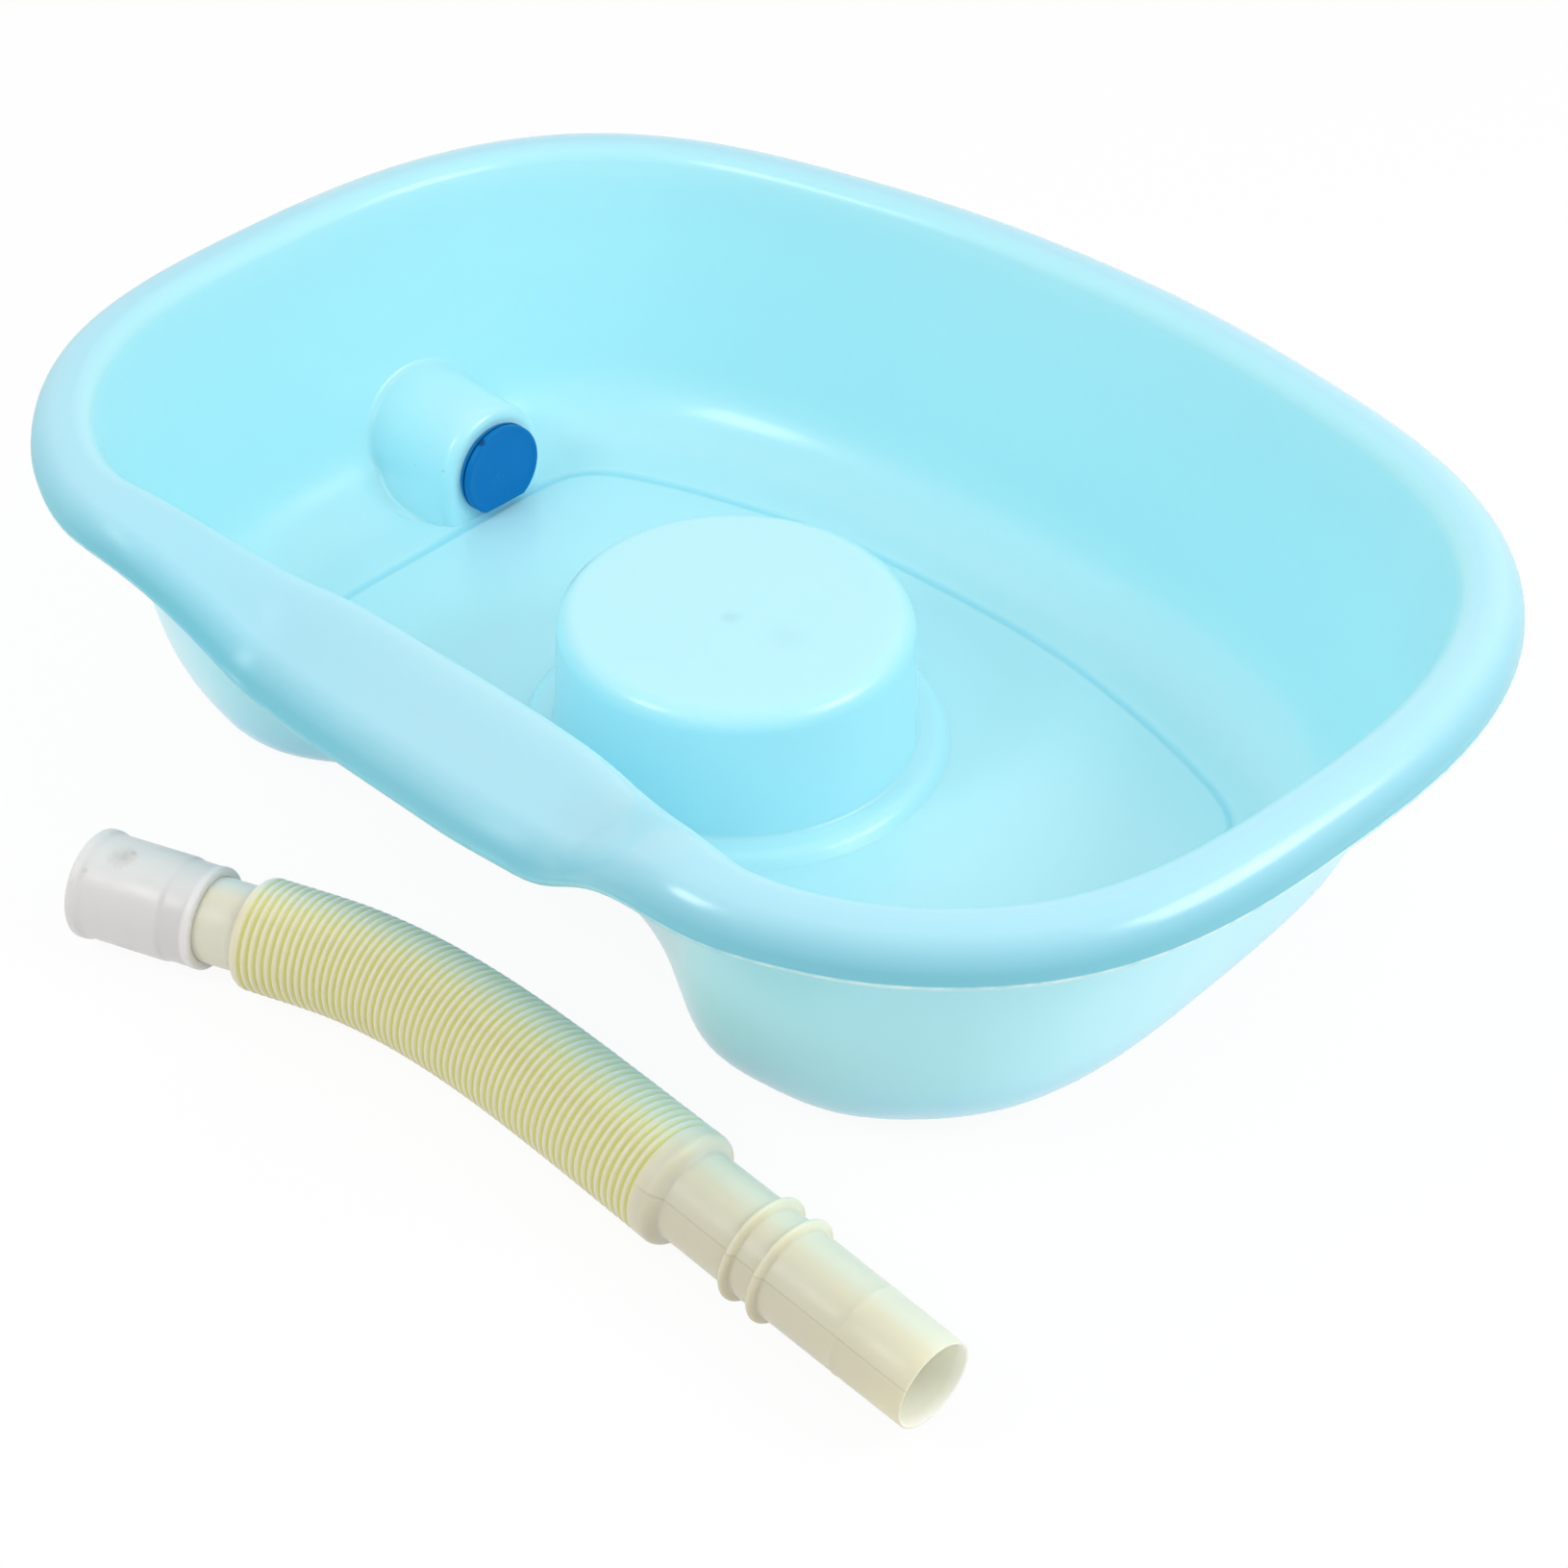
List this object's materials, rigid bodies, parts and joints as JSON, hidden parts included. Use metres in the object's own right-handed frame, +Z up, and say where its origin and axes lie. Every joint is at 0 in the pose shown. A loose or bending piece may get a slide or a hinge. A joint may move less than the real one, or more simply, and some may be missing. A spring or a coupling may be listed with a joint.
{
  "type": "portable shampoo basin",
  "caption": "Plastic hair-washing basin with a dipped neck rest, a raised head pedestal, a plugged side drain and a loose ribbed drain hose with a push-on sleeve.",
  "frame": {"origin": "on the floor under the middle of the basin's bounding box, leaving out the loose hose", "axes": "+X along the basin, away from the drain; +Y from the neck rest to the back wall; +Z up"},
  "size_m": [0.5434, 0.4663, 0.1275],
  "materials": {
    "basin_shell": "satin injection-moulded polypropylene",
    "drain_plug": "satin moulded rubber",
    "drain_hose": "slightly see-through cream plastic",
    "hose_connector": "milky, slightly see-through plastic"
  },
  "bodies": {
    "basin": {"basin_shell": "basin_shell"},
    "plug": {"drain_plug": "drain_plug"},
    "hose": {"drain_hose": "drain_hose"},
    "connector": {"hose_connector": "hose_connector"}
  },
  "joints": [
    {"name": "plug_pull", "type": "slide", "parent": "basin", "child": "plug", "axis": [1, 0, 0], "range_m": [0, 0.06]},
    {"name": "hose_slide", "type": "slide", "parent": "basin", "child": "hose", "axis": [0, -1, 0], "range_m": [0, 0.1]},
    {"name": "connector_pull", "type": "slide", "parent": "hose", "child": "connector", "axis": [-0.9382, -0.3461, 0], "range_m": [0, 0.03]}
  ]
}
